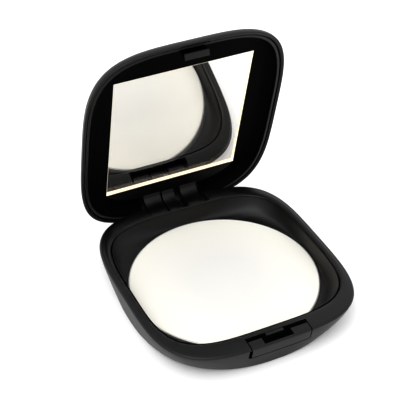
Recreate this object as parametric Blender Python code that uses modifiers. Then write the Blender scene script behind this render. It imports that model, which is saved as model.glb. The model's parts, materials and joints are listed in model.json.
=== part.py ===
"""A square pressed-powder compact with rounded corners: a base that holds a round pan of powder,
a hinged lid with a mirror, and a push button at the front. Metres, +Z up. The origin lies on the
ground under the middle of the powder; +X runs along the hinge and +Y points from the button to it.
The lid's pieces are laid out as they lie when it is shut, and hang from an empty on the hinge axis
that turns them to where the lid stands open."""

import bpy
import bmesh
from math import cos, pi, radians, sin
from mathutils import Matrix, Vector

MM = 0.001
GAP = 0.3 * MM               # between pieces that touch
RING_POINTS = 48             # points round each rounded-square section
OUTSIDE = 50 * MM            # far enough for a cutter's end to lie outside the piece it cuts

# Base, outside
BASE_HALF_X = 33.5 * MM
BASE_HALF_Y = 36.75 * MM
BASE_MIDDLE_Y = 0.45 * MM
BASE_HEIGHT = 9.9 * MM       # up to the widest level
RIM_CROWN = 0.5 * MM         # rise of the rim's land above that level
SQUARE_TOP = 3.8             # superellipse exponent at the widest level
SQUARE_FOOT = 2.28           # and at the foot, where the plan is nearly round
FOOT_INSET_X = 1.4 * MM
FOOT_INSET_Y = 2.3 * MM
FOOT_RADIUS = 0.7 * MM
WALL = 1.3 * MM
WALL_INSIDE_Y = -34.2 * MM   # just inside the front wall, level with the button's foot

# Well in the base
WELL_HALF = 30.6 * MM
WELL_MIDDLE_Y = 0.6 * MM
SQUARE_WELL = 4.0
POWDER_TOP = 4.7 * MM
PAN_RADIUS = 29.7 * MM
PAN_FOOT = 1.9 * MM
PAN_SHEET = 0.4 * MM
LINER_WALL = 0.7 * MM

# Hinge
HINGE_Y = 34.7 * MM
HINGE_Z = 6.45 * MM
OPEN_ANGLE = radians(75.5)   # the lid stands this far from shut
NOTCH_HALF_X = 10.35 * MM
NOTCH_FRONT_Y = 31.7 * MM
NOTCH_FLOOR_Z = 2.9 * MM
LUG_INNER_X = 3.5 * MM
LUG_OUTER_X = 9.5 * MM
LUG_RADIUS = 2.5 * MM
LUG_SLACK = 0.4 * MM         # beside the lugs in the lid's rear wall
LUG_WAY_TOP_Z = 12.4 * MM
STRIP_LEFT_X = -2.95 * MM    # of the strip between the lugs
STRIP_RIGHT_X = 1.4 * MM
STRIP_RECESS = 0.4 * MM
WEB_FRONT_Y = 35.6 * MM      # of the web behind the strip, from lug to lug
WEB_REAR_Y = 36.5 * MM
WEB_FOOT_Z = 6.6 * MM
WEB_TOP_Z = 11.4 * MM
BEARING_OUTER_X = 12.0 * MM
BEARING_RADIUS = 2.4 * MM
PIN_RADIUS = 0.6 * MM
PIN_BORE = 0.72 * MM

# Button and latch
BUTTON_LEFT_X = -9.0 * MM
BUTTON_RIGHT_X = 10.2 * MM
BUTTON_BACK_Y = -33.3 * MM
BUTTON_FOOT_Z = 5.8 * MM
BUTTON_BORE_X = 7.2 * MM     # blind bores for its two springs
BUTTON_BORE_Z = 8.0 * MM
BUTTON_BORE_RADIUS = 1.25 * MM
BUTTON_BORE_END_Y = -35.2 * MM
BAY_BACK_Y = -31.8 * MM
BAY_FLOOR_Z = 5.5 * MM
BAY_WALL = 0.8 * MM
BAY_HALF_X = 12.0 * MM       # of the web behind the button
POCKET_HALF_X = 4.7 * MM     # opening in the button for the lid's hook
POCKET_FRONT_Y = -35.2 * MM
POCKET_STEP = 0.45 * MM      # the opening is longer by this at the top
POCKET_STEP_Z = 8.5 * MM
SLOT_LEFT_X = -9.8 * MM      # slot between the button's left end and the base, below the rim
SLOT_RIGHT_X = -8.75 * MM
SLOT_TOP_Z = 9.3 * MM
SLOT_BACK_Y = -34.0 * MM
CATCH_LEFT_X = -2.85 * MM    # block behind the hook
CATCH_RIGHT_X = 2.9 * MM
CATCH_FRONT_Y = -32.95 * MM
CATCH_FOOT_Z = 8.7 * MM
CATCH_TOP_Z = 10.1 * MM
BUTTON_TRAVEL = 0.6 * MM
SPRING_RADIUS = 0.8 * MM
SPRING_WIRE = 0.12 * MM
SPRING_TURNS = 3

# Lid, outside, as it lies when shut
LID_HALF_X = 33.05 * MM
LID_HALF_Y = 37.7 * MM
LID_MIDDLE_Y = 0.22 * MM
LID_FOOT_Z = 10.25 * MM
LID_SIDE_RADIUS = 4.0 * MM   # of the curve up from the foot
LID_TOP_RADIUS = 25.0 * MM   # of the slow curve that goes on over the top
LID_SIDE_TURN = radians(45)  # how far the first of them turns
SQUARE_LID = 3.85
LID_WALL = 1.0 * MM
LINER_LIP_Z = 10.6 * MM
PANEL_Z = 13.75 * MM         # the flat round the mirror
PANEL_SHEET = 0.6 * MM
LIP_NOTCH_LEFT_X = -3.9 * MM  # cut from the inside of the lip, in front of the hook
LIP_NOTCH_RIGHT_X = 5.1 * MM
LIP_NOTCH_FRONT_Y = -36.95 * MM
LIP_NOTCH_DEPTH = 0.7 * MM

# Mirror
MIRROR_HALF_X = 22.7 * MM
MIRROR_HALF_Y = 25.1 * MM
MIRROR_MIDDLE_Y = 0.4 * MM
MIRROR_THICKNESS = 1.55 * MM
TAPE_THICKNESS = 0.2 * MM

# Hook of the lid
HOOK_LEFT_X = -3.45 * MM
HOOK_RIGHT_X = 4.45 * MM
HOOK_BACK_Y = -33.2 * MM
HOOK_NECK_Y = -34.1 * MM
HOOK_TIP = (-33.35 * MM, 8.3 * MM)    # Y and Z of the sloping face that leads it in
HOOK_NOSE = (-34.9 * MM, 9.2 * MM)


def start():
    for old in list(bpy.data.objects):
        bpy.data.objects.remove(old, do_unlink=True)
    made = []
    for name in ("powder_compact", "helpers"):
        collection = bpy.data.collections.new(name)
        bpy.context.scene.collection.children.link(collection)
        made.append(collection)
    return made


PARTS, HELPERS = start()


def material(name, colour, roughness, metallic=0.0):
    made = bpy.data.materials.new(name)
    made.use_nodes = True
    shader = made.node_tree.nodes["Principled BSDF"]
    shader.inputs["Base Color"].default_value = (*colour, 1.0)
    shader.inputs["Roughness"].default_value = roughness
    shader.inputs["Metallic"].default_value = metallic
    return made


def add_object(name, mesh_data, finish=None, parent=None):
    """A part if it has a finish, otherwise a helper that only cuts or joins."""
    made = bpy.data.objects.new(name, mesh_data)
    (PARTS if finish else HELPERS).objects.link(made)
    if finish:
        mesh_data.materials.append(finish)
    else:
        made.hide_render = True
        made.display_type = "WIRE"
    made.parent = parent
    return made


def from_bmesh(name, shape, finish=None, parent=None):
    bmesh.ops.recalc_face_normals(shape, faces=shape.faces)
    mesh_data = bpy.data.meshes.new(name)
    shape.to_mesh(mesh_data)
    shape.free()
    made = add_object(name, mesh_data, finish, parent)
    if finish:
        mesh_data.shade_smooth()
        mesh_data.set_sharp_from_angle(angle=radians(35))
    return made


def section(half_x, half_y, square, middle_y, z):
    """One level of a rounded square: a superellipse whose exponent says how square it is."""
    points = []
    for i in range(RING_POINTS):
        angle = 2 * pi * i / RING_POINTS
        reach = (abs(cos(angle) / half_x) ** square + abs(sin(angle) / half_y) ** square) ** (-1 / square)
        points.append((reach * cos(angle), middle_y + reach * sin(angle), z))
    return points


def loft(name, sections, finish=None, parent=None):
    """A closed body whose skin runs through the sections in turn, with flat ends."""
    shape = bmesh.new()
    rings = [[shape.verts.new(point) for point in points] for points in sections]
    for low, high in zip(rings, rings[1:]):
        for i in range(RING_POINTS):
            j = (i + 1) % RING_POINTS
            shape.faces.new((low[i], low[j], high[j], high[i]))
    shape.faces.new(reversed(rings[0]))
    shape.faces.new(rings[-1])
    return from_bmesh(name, shape, finish, parent)


def box(name, low, high, finish=None, parent=None):
    shape = bmesh.new()
    bmesh.ops.create_cube(shape, size=1.0)
    low, high = Vector(low), Vector(high)
    size = Matrix.Diagonal((*(high - low), 1.0))
    shape.transform(Matrix.Translation((low + high) / 2) @ size)
    return from_bmesh(name, shape, finish, parent)


def slab(name, profile, left_x, right_x, parent=None):
    """A (y, z) outline given thickness along X."""
    shape = bmesh.new()
    ends = [[shape.verts.new((x, y, z)) for y, z in profile] for x in (left_x, right_x)]
    for i in range(len(profile)):
        j = (i + 1) % len(profile)
        shape.faces.new((ends[0][i], ends[0][j], ends[1][j], ends[1][i]))
    shape.faces.new(ends[0])
    shape.faces.new(reversed(ends[1]))
    return from_bmesh(name, shape, None, parent)


def rod(name, radius, start_point, end_point, sides=24, finish=None, parent=None):
    start_point, end_point = Vector(start_point), Vector(end_point)
    run = end_point - start_point
    shape = bmesh.new()
    bmesh.ops.create_cone(shape, cap_ends=True, segments=sides, radius1=radius, radius2=radius,
                          depth=run.length)
    turn = Vector((0, 0, 1)).rotation_difference(run).to_matrix().to_4x4()
    shape.transform(Matrix.Translation((start_point + end_point) / 2) @ turn)
    return from_bmesh(name, shape, finish, parent)


def turned(name, profile, finish, steps=64):
    """A profile of (radius, z) points turned round the vertical axis."""
    mesh_data = bpy.data.meshes.new(name)
    edges = [(i, i + 1) for i in range(len(profile) - 1)]
    mesh_data.from_pydata([(radius, 0, z) for radius, z in profile], edges, [])
    made = add_object(name, mesh_data, finish)
    screw = made.modifiers.new("turn", "SCREW")
    screw.steps = screw.render_steps = steps
    screw.use_merge_vertices = True
    screw.merge_threshold = 0.00001
    return made


def combine(target, other, operation):
    step = target.modifiers.new(other.name, "BOOLEAN")
    step.operation = operation
    step.object = other


def arc(middle, radius, first, last, steps):
    """Points (y, z) round the middle from one angle to another, counted from +Y towards +Z."""
    angles = [first + (last - first) * i / steps for i in range(steps + 1)]
    return [(middle[0] + radius * cos(a), middle[1] + radius * sin(a)) for a in angles]


# Base ------------------------------------------------------------------------------------------

def base_section(z, inset=0.0):
    """The base's outside at height z, moved in by inset."""
    fall = max(0.0, 1 - z / BASE_HEIGHT) ** 1.27
    return section(BASE_HALF_X - FOOT_INSET_X * fall - inset, BASE_HALF_Y - FOOT_INSET_Y * fall - inset,
                   SQUARE_TOP + (SQUARE_FOOT - SQUARE_TOP) * fall, BASE_MIDDLE_Y, z)


def at_height(points, z):
    return [(x, y, z) for x, y, _ in points]


def base_outside():
    """The base's outer skin from the foot to the start of the land."""
    levels = [at_height(base_section(0.0, FOOT_RADIUS), 0.0),
              at_height(base_section(0.0, 0.2 * FOOT_RADIUS), 0.3 * FOOT_RADIUS)]
    levels += [base_section(z * MM) for z in (0.8, 2.5, 4.5, 6.5, 8.5)]
    levels += [base_section(BASE_HEIGHT - 0.3 * MM), base_section(BASE_HEIGHT, 0.25 * MM)]
    levels.append(at_height(base_section(BASE_HEIGHT, 0.9 * MM), BASE_HEIGHT + 0.25 * MM))
    return levels


def well_section(z, outset=0.0):
    return section(WELL_HALF + outset, WELL_HALF + outset, SQUARE_WELL, WELL_MIDDLE_Y, z)


def make_base_shell(finish):
    land_top = BASE_HEIGHT + RIM_CROWN
    land_foot = land_top - WALL
    inside = [well_section(land_top, 0.3 * MM), well_section(land_top - 0.3 * MM), well_section(land_foot)]
    inside.append(at_height(base_section(land_foot - WALL, WALL), land_foot - 0.1 * MM))
    inside += [base_section(z * MM, WALL) for z in (8.0, 6.0, 4.0, 2.4)]
    inside.append(at_height(base_section(1.6 * MM, WALL + 0.4 * MM), WALL))
    shell = loft("base_shell", base_outside() + inside, finish)
    cut_hinge_notch(shell)
    cut_button_bay(shell)
    return shell


def cut_hinge_notch(shell):
    """The gap in the rear wall for the lid's lugs, with the bearings that hold the pin's ends."""
    for side, name in ((-1, "left"), (1, "right")):
        profile = [(HINGE_Y - BEARING_RADIUS, WALL * 0.6), (HINGE_Y + 0.4 * MM, WALL * 0.6)]
        profile += arc((HINGE_Y, HINGE_Z), 1.1 * MM, -pi / 4, pi / 2, 6)
        profile += arc((HINGE_Y, HINGE_Z), BEARING_RADIUS, pi / 2 + 0.2, pi, 5)
        ends = sorted((side * (NOTCH_HALF_X - 1 * MM), side * BEARING_OUTER_X))
        combine(shell, slab("bearing_" + name, profile, *ends), "UNION")
    combine(shell, box("hinge_notch", (-NOTCH_HALF_X, NOTCH_FRONT_Y, NOTCH_FLOOR_Z),
                       (NOTCH_HALF_X, OUTSIDE, OUTSIDE)), "DIFFERENCE")
    reach = BEARING_OUTER_X + 0.2 * MM
    combine(shell, rod("pin_bore", PIN_BORE, (-reach, HINGE_Y, HINGE_Z), (reach, HINGE_Y, HINGE_Z)),
            "DIFFERENCE")


def cut_button_bay(shell):
    """The gap in the front wall for the button, with a web and a floor behind it and the lid's catch."""
    web = box("bay_web", (-BAY_HALF_X, BAY_BACK_Y - 0.8 * MM, WALL / 2),
              (BAY_HALF_X, BAY_BACK_Y + BAY_WALL, BASE_HEIGHT - 0.2 * MM))
    combine(shell, web, "UNION")
    floor = box("bay_floor", (GAP - BAY_HALF_X, WALL_INSIDE_Y, BAY_FLOOR_Z - WALL),
                (BAY_HALF_X - GAP, BAY_BACK_Y + BAY_WALL / 2, BAY_FLOOR_Z + 0.4 * MM))
    combine(shell, floor, "UNION")
    bay = box("button_bay", (BUTTON_LEFT_X - GAP, -OUTSIDE, BAY_FLOOR_Z),
              (BUTTON_RIGHT_X + GAP, BAY_BACK_Y, OUTSIDE))
    combine(shell, bay, "DIFFERENCE")
    slot = box("bay_slot", (SLOT_LEFT_X, -OUTSIDE, BAY_FLOOR_Z + 0.4 * MM),
               (BUTTON_LEFT_X, SLOT_BACK_Y - 0.9 * MM, SLOT_TOP_Z))
    combine(shell, slot, "DIFFERENCE")
    catch = box("catch_block", (CATCH_LEFT_X, CATCH_FRONT_Y, CATCH_FOOT_Z),
                (CATCH_RIGHT_X, BAY_BACK_Y + 0.4 * MM, CATCH_TOP_Z))
    combine(shell, catch, "UNION")


def make_well_liner(finish):
    """The funnel from the square opening down to the round pan."""
    top = BASE_HEIGHT + RIM_CROWN - 0.5 * MM
    bottom = POWDER_TOP - 0.1 * MM
    round_hole = PAN_RADIUS + 0.1 * MM

    def step(part, outset):
        half = round_hole + (WELL_HALF - GAP - round_hole) * part
        square = 2 + (SQUARE_WELL - 2) * part ** 0.8
        return section(half + outset, half + outset, square, WELL_MIDDLE_Y * part,
                       bottom + (top - bottom) * part ** 1.4)

    inner = [step(part, 0.0) for part in (0.0, 0.25, 0.5, 0.75, 1.0)]
    outer = [at_height(step(part, 0.0 if part == 1.0 else LINER_WALL), step(part, 0)[0][2] - drop)
             for part, drop in ((1.0, LINER_WALL), (0.75, 0.3 * MM), (0.5, 0.2 * MM), (0.25, 0.1 * MM))]
    skirt = PAN_RADIUS + GAP
    foot = [section(skirt + LINER_WALL, skirt + LINER_WALL, 2, 0.0, z) for z in (bottom, WALL + GAP)]
    foot += [section(skirt, skirt, 2, 0.0, z) for z in (WALL + GAP, bottom - 0.3 * MM)]
    return ring_loft("well_liner", inner + outer + foot, finish)


def ring_loft(name, sections, finish, parent=None):
    """A closed ring whose skin runs through the sections and back to the first."""
    shape = bmesh.new()
    rings = [[shape.verts.new(point) for point in points] for points in sections]
    for low, high in zip(rings, rings[1:] + rings[:1]):
        for i in range(RING_POINTS):
            j = (i + 1) % RING_POINTS
            shape.faces.new((low[i], low[j], high[j], high[i]))
    return from_bmesh(name, shape, finish, parent)


def make_pan_and_powder(tin, powder, glue):
    cup = PAN_RADIUS - PAN_SHEET
    pan_top = POWDER_TOP - 0.25 * MM
    pan_floor = PAN_FOOT + PAN_SHEET
    turned("powder_pan", [(0, pan_floor), (cup, pan_floor), (cup, pan_top), (PAN_RADIUS, pan_top),
                          (PAN_RADIUS, PAN_FOOT + 0.3 * MM), (PAN_RADIUS - 0.3 * MM, PAN_FOOT),
                          (0, PAN_FOOT)], tin)
    cake = cup - 0.1 * MM
    turned("powder_cake", [(0, POWDER_TOP), (cake - 0.3 * MM, POWDER_TOP), (cake, POWDER_TOP - 0.2 * MM),
                           (cake, pan_floor + 0.1 * MM), (0, pan_floor + 0.1 * MM)], powder)
    turned("pan_glue_dot", [(0, PAN_FOOT - 0.1 * MM), (9 * MM, PAN_FOOT - 0.1 * MM),
                            (9 * MM, WALL + 0.1 * MM), (0, WALL + 0.1 * MM)], glue, steps=32)


def make_button(finish):
    """The front of the base's own solid, cut free, so that it lies flush with the base."""
    button = loft("latch_button", base_outside() + [well_section(BASE_HEIGHT + RIM_CROWN, 0.3 * MM)], finish)
    keep = box("button_block", (BUTTON_LEFT_X, -OUTSIDE, BUTTON_FOOT_Z),
               (BUTTON_RIGHT_X, BUTTON_BACK_Y, OUTSIDE))
    combine(button, keep, "INTERSECT")
    for front_y, foot_z, name in ((POCKET_FRONT_Y, 0, "pocket"),
                                  (POCKET_FRONT_Y - POCKET_STEP, POCKET_STEP_Z, "pocket_step")):
        pocket = box("hook_" + name, (-POCKET_HALF_X, front_y, foot_z), (POCKET_HALF_X, 0, OUTSIDE))
        combine(button, pocket, "DIFFERENCE")
    slot = box("button_slot", (-OUTSIDE, -OUTSIDE, 0), (SLOT_RIGHT_X, SLOT_BACK_Y, SLOT_TOP_Z))
    combine(button, slot, "DIFFERENCE")
    for side, name in ((-1, "left"), (1, "right")):
        x = side * BUTTON_BORE_X
        bore = rod("spring_bore_" + name, BUTTON_BORE_RADIUS, (x, BUTTON_BORE_END_Y, BUTTON_BORE_Z),
                   (x, 0, BUTTON_BORE_Z), sides=16)
        combine(button, bore, "DIFFERENCE")
    return button


def make_button_springs(finish):
    """Two small coils in the button's bores that press it outwards, drawn as when it is pressed."""
    start_y = BAY_BACK_Y - GAP - SPRING_WIRE
    end_y = BUTTON_BORE_END_Y + BUTTON_TRAVEL + GAP + SPRING_WIRE
    points_a_turn = 8
    count = SPRING_TURNS * points_a_turn
    for side, name in ((-1, "left"), (1, "right")):
        curve = bpy.data.curves.new("button_spring_" + name, "CURVE")
        curve.dimensions = "3D"
        curve.bevel_depth = SPRING_WIRE
        curve.bevel_resolution = 1
        curve.use_fill_caps = True
        spline = curve.splines.new("POLY")
        spline.points.add(count)
        for i, point in enumerate(spline.points):
            turn = 2 * pi * i / points_a_turn
            point.co = (SPRING_RADIUS * cos(turn), start_y + (end_y - start_y) * i / count,
                        SPRING_RADIUS * sin(turn), 1)
        made = add_object(curve.name, curve, finish)
        made.location = (side * BUTTON_BORE_X, 0, BUTTON_BORE_Z)


def make_hinge_pin(finish):
    reach = BEARING_OUTER_X - 0.2 * MM
    return rod("hinge_pin", PIN_RADIUS, (-reach, HINGE_Y, HINGE_Z), (reach, HINGE_Y, HINGE_Z), 16, finish)


# Lid -------------------------------------------------------------------------------------------

def lid_section(z, inset):
    return section(LID_HALF_X - inset, LID_HALF_Y - inset, SQUARE_LID, LID_MIDDLE_Y, z)


def dome(wall):
    """The lid's rounded skin from its foot to the flat of its top, moved in by the wall."""
    levels = []
    for degrees in (0, 15, 30, 45, 55, 64, 73, 82, 90):
        turn = radians(degrees)
        side_turn = min(turn, LID_SIDE_TURN)
        inset = LID_SIDE_RADIUS * (1 - cos(side_turn)) + LID_TOP_RADIUS * (cos(side_turn) - cos(turn))
        rise = LID_SIDE_RADIUS * sin(side_turn) + LID_TOP_RADIUS * (sin(turn) - sin(side_turn))
        levels.append(lid_section(LID_FOOT_Z + 0.2 * MM + rise - wall * sin(turn), inset + wall * cos(turn)))
    return levels


def make_lid_shell(finish, hinge):
    inside = dome(LID_WALL)[1:]
    lip = [lid_section(LID_FOOT_Z + 0.3 * MM, LID_WALL), lid_section(LID_FOOT_Z, 0.3 * MM)]
    shell = loft("lid_shell", inside[::-1] + lip + dome(0.0), finish, hinge)
    gap = box("lug_way", (-LUG_OUTER_X - LUG_SLACK, NOTCH_FRONT_Y, 0),
              (LUG_OUTER_X + LUG_SLACK, OUTSIDE, LUG_WAY_TOP_Z), parent=hinge)
    combine(shell, gap, "DIFFERENCE")
    notch = box("lip_notch", (LIP_NOTCH_LEFT_X, LIP_NOTCH_FRONT_Y, 0),
                (LIP_NOTCH_RIGHT_X, HOOK_BACK_Y, LID_FOOT_Z + LIP_NOTCH_DEPTH), parent=hinge)
    combine(shell, notch, "DIFFERENCE")
    return shell


def make_lid_liner(finish, hinge):
    """The lid's inside: a lip, a concave wall up to a flat panel, the mirror's seat, lugs and hook."""
    outer = LID_WALL + GAP
    panel_back = PANEL_Z + MIRROR_THICKNESS + TAPE_THICKNESS + PANEL_SHEET
    levels = [lid_section(panel_back, 7.4 * MM), lid_section(15.75 * MM, 6.2 * MM),
              lid_section(14.2 * MM, 4.1 * MM), lid_section(12.4 * MM, 2.6 * MM),
              lid_section(LINER_LIP_Z, outer), lid_section(LINER_LIP_Z, outer + 0.9 * MM)]
    levels += [lid_section(LINER_LIP_Z + (PANEL_Z - LINER_LIP_Z) * sin(radians(d)),
                           outer + 0.9 * MM + 3.7 * MM * (1 - cos(radians(d)))) for d in (25, 50, 72, 90)]
    liner = loft("lid_liner", levels, finish, hinge)
    slack = 0.25 * MM
    seat = box("mirror_seat", (-MIRROR_HALF_X - slack, MIRROR_MIDDLE_Y - MIRROR_HALF_Y - slack, 0),
               (MIRROR_HALF_X + slack, MIRROR_MIDDLE_Y + MIRROR_HALF_Y + slack,
                PANEL_Z + MIRROR_THICKNESS + TAPE_THICKNESS), parent=hinge)
    combine(liner, seat, "DIFFERENCE")
    add_lugs(liner, hinge)
    add_hook(liner, hinge)
    return liner


def lug_profile(recess):
    """An arm that reaches down from the panel and curls round the pin, set back by the recess."""
    radius = LUG_RADIUS - recess
    front = [(30.4, 14.35), (30.9, 13.75), (31.9, 13.2), (32.5, 12.4), (32.9, 11.5), (32.95, 10.5),
             (32.7, 9.0), (32.35, 7.5)]
    profile = [(y * MM + recess, z * MM - recess / 4) for y, z in front]
    profile += arc((HINGE_Y, HINGE_Z), radius, pi, 2 * pi, 12)
    rear = HINGE_Y + radius
    profile += [(rear, 11.6 * MM), (rear - 1.2 * MM, 11.8 * MM), (rear - 2.2 * MM, 13.0 * MM),
                (rear - 3.6 * MM, 14.35 * MM - recess / 4)]
    return profile


def add_lugs(liner, hinge):
    """The two lugs, a strip and a web set back between them, and the bore for the pin through them all."""
    for side, name in ((-1, "left"), (1, "right")):
        ends = sorted((side * LUG_INNER_X, side * LUG_OUTER_X))
        combine(liner, slab("lug_" + name, lug_profile(0.0), *ends, parent=hinge), "UNION")
    strip = slab("lug_strip", lug_profile(STRIP_RECESS), STRIP_LEFT_X, STRIP_RIGHT_X, parent=hinge)
    combine(liner, strip, "UNION")
    web = box("lug_web", (-LUG_INNER_X - 0.1 * MM, WEB_FRONT_Y, WEB_FOOT_Z),
              (LUG_INNER_X + 0.1 * MM, WEB_REAR_Y, WEB_TOP_Z), parent=hinge)
    combine(liner, web, "UNION")
    reach = LUG_OUTER_X + 2 * MM
    bore = rod("lug_bore", PIN_BORE, (-reach, HINGE_Y, HINGE_Z), (reach, HINGE_Y, HINGE_Z), parent=hinge)
    combine(liner, bore, "DIFFERENCE")


def add_hook(liner, hinge):
    """A tongue that hangs from the front of the panel, with a nose that points forward."""
    nose_y, nose_z = HOOK_NOSE
    nose_edge = 0.4 * MM
    profile = [(HOOK_BACK_Y, HOOK_TIP[1]), (HOOK_BACK_Y, PANEL_Z + 0.25 * MM),
               (HOOK_NECK_Y, PANEL_Z - 0.5 * MM), (HOOK_NECK_Y, nose_z + 2 * nose_edge),
               (nose_y, nose_z + nose_edge), HOOK_NOSE, HOOK_TIP]
    combine(liner, slab("hook", profile, HOOK_LEFT_X, HOOK_RIGHT_X, parent=hinge), "UNION")


def make_mirror(glass, tape, hinge):
    middle = Vector((0, MIRROR_MIDDLE_Y, 0))
    half = Vector((MIRROR_HALF_X, MIRROR_HALF_Y, 0))
    up = Vector((0, 0, 1))
    box("mirror_glass", middle - half + up * PANEL_Z, middle + half + up * (PANEL_Z + MIRROR_THICKNESS),
        glass, hinge)
    back = PANEL_Z + MIRROR_THICKNESS
    edge = Vector((3 * MM, 3 * MM, 0))
    box("mirror_tape", middle - half + edge + up * (back + 0.05 * MM),
        middle + half - edge + up * (back + TAPE_THICKNESS - 0.05 * MM), tape, hinge)


def main():
    plastic = material("black_abs", (0.012, 0.012, 0.013), 0.42)
    liner_plastic = material("black_abs_inner", (0.014, 0.014, 0.014), 0.5)
    tin = material("tinplate", (0.55, 0.55, 0.56), 0.35, 1.0)
    powder = material("pressed_powder", (0.90, 0.87, 0.82), 0.95)
    glue = material("hot_glue", (0.75, 0.72, 0.62), 0.4)
    steel = material("steel_pin", (0.58, 0.58, 0.58), 0.3, 1.0)
    glass = material("silvered_glass", (0.85, 0.87, 0.88), 0.03, 1.0)
    tape = material("foam_tape", (0.85, 0.85, 0.83), 0.9)

    make_base_shell(plastic)
    make_well_liner(liner_plastic)
    make_pan_and_powder(tin, powder, glue)
    make_button(plastic)
    make_button_springs(steel)
    make_hinge_pin(steel)

    hinge = bpy.data.objects.new("lid_hinge_axis", None)
    PARTS.objects.link(hinge)
    at_axis = Matrix.Translation((0, HINGE_Y, HINGE_Z))
    hinge.matrix_world = at_axis @ Matrix.Rotation(-OPEN_ANGLE, 4, "X") @ at_axis.inverted()
    make_lid_shell(plastic, hinge)
    make_lid_liner(liner_plastic, hinge)
    make_mirror(glass, tape, hinge)


main()
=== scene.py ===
"""Looks of a square black powder compact that stands open on a white studio table: satin ABS shells,
a round pan of pressed powder, a silvered mirror with ground edges, and a push button. Sizes are in
metres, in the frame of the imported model. The lid's pieces are shaped as they lie when it is shut,
and then turned about the hinge to where it stands open."""

import json
from math import cos, pi, radians, sin

import bmesh
import bpy
from mathutils import Matrix, Vector


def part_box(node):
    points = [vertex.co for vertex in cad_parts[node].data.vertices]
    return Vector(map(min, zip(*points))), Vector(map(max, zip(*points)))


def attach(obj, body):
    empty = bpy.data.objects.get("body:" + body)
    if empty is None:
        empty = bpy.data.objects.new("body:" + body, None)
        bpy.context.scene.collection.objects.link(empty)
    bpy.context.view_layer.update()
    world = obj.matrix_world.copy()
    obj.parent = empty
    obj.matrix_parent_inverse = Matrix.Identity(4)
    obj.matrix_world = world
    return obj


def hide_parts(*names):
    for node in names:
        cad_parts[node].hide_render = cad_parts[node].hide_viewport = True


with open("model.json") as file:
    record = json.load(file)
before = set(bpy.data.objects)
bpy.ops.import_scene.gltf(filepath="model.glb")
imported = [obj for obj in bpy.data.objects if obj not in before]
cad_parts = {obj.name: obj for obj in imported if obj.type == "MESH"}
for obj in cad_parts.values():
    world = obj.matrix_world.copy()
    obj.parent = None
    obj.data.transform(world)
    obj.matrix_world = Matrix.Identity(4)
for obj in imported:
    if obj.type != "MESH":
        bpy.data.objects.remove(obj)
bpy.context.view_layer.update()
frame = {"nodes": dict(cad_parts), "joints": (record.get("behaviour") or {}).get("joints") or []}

MM = 0.001
RING_POINTS = 240            # round each rounded-square outline
OUTSIDE = 50 * MM            # far enough for a cutter's end to lie outside the piece it cuts
GAP = 0.3 * MM

# The hinge, and how far the lid stands open
LID_JOINT = next(joint for joint in frame["joints"] if joint["child"] == "lid")
HINGE_Y, HINGE_Z = LID_JOINT["pos_m"][1:]
OPEN_ANGLE = radians(-LID_JOINT["range_deg"][0])
AT_HINGE = Matrix.Translation((0, HINGE_Y, HINGE_Z))
LID_OPEN = AT_HINGE @ Matrix.Rotation(-OPEN_ANGLE, 4, "X") @ AT_HINGE.inverted()

# Base, outside
BUTTON_LOW, BUTTON_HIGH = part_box("latch_button")
BASE_HALF_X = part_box("base_shell")[1].x
BASE_MIDDLE_Y = 0.45 * MM
BASE_HALF_Y = BASE_MIDDLE_Y - BUTTON_LOW.y
BASE_WIDEST_Z = 9.9 * MM
LAND_TOP = BUTTON_HIGH.z
SQUARE_TOP = 3.8             # superellipse exponent at the widest level
SQUARE_FOOT = 2.28           # and at the foot, where the plan is nearly round
FOOT_INSET_X = 1.4 * MM
FOOT_INSET_Y = 2.3 * MM
FOOT_RADIUS = 0.7 * MM
RIM_INSET = 1.1 * MM         # the rim's rounding, inwards and upwards
RIM_RISE = 0.75 * MM
LAND_CROWN = 0.2 * MM        # rise of the land from the rim to the well
WALL = 1.3 * MM
WALL_INSIDE_Y = -34.2 * MM

# Well
CAKE_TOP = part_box("powder_cake")[1].z
PAN_LOW, PAN_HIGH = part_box("powder_pan")
PAN_RADIUS = PAN_HIGH.x
PAN_SHEET = 0.25 * MM
CAKE_SLACK = 0.05 * MM       # between the powder and the pan
WELL_HALF = 30.6 * MM
WELL_LIP_IN = 1.2 * MM       # the lip's rolled edge, inwards and downwards
WELL_LIP_DOWN = 0.5 * MM
WELL_MIDDLE_Y = 0.6 * MM
SQUARE_WELL = 4.0
LINER_WALL = 0.7 * MM
LINER_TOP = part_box("well_liner")[1].z

# Hinge
NOTCH_HALF_X = 10.35 * MM
NOTCH_FRONT_Y = 31.7 * MM
NOTCH_FLOOR_Z = 2.9 * MM
LUG_INNER_X = 3.5 * MM
LUG_OUTER_X = 9.5 * MM
LUG_RADIUS = 2.5 * MM
LUG_SLACK = 0.4 * MM
LUG_ZONE_Y = 30.2 * MM       # behind this the liner keeps the lugs' finish, not the panel's painted shade
LUG_WAY_TOP_Z = 12.4 * MM
STRIP_LEFT_X = -2.95 * MM    # of the strip between the lugs
STRIP_RIGHT_X = 1.4 * MM
STRIP_RECESS = 0.4 * MM
WEB_FRONT_Y = 35.6 * MM      # of the web behind the strip, from lug to lug
WEB_REAR_Y = 36.5 * MM
WEB_FOOT_Z = 6.6 * MM
WEB_TOP_Z = 11.4 * MM
BEARING_OUTER_X = 12.0 * MM
BEARING_RADIUS = 2.4 * MM
PIN_RADIUS = 0.6 * MM
PIN_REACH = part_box("hinge_pin")[1].x

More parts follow.
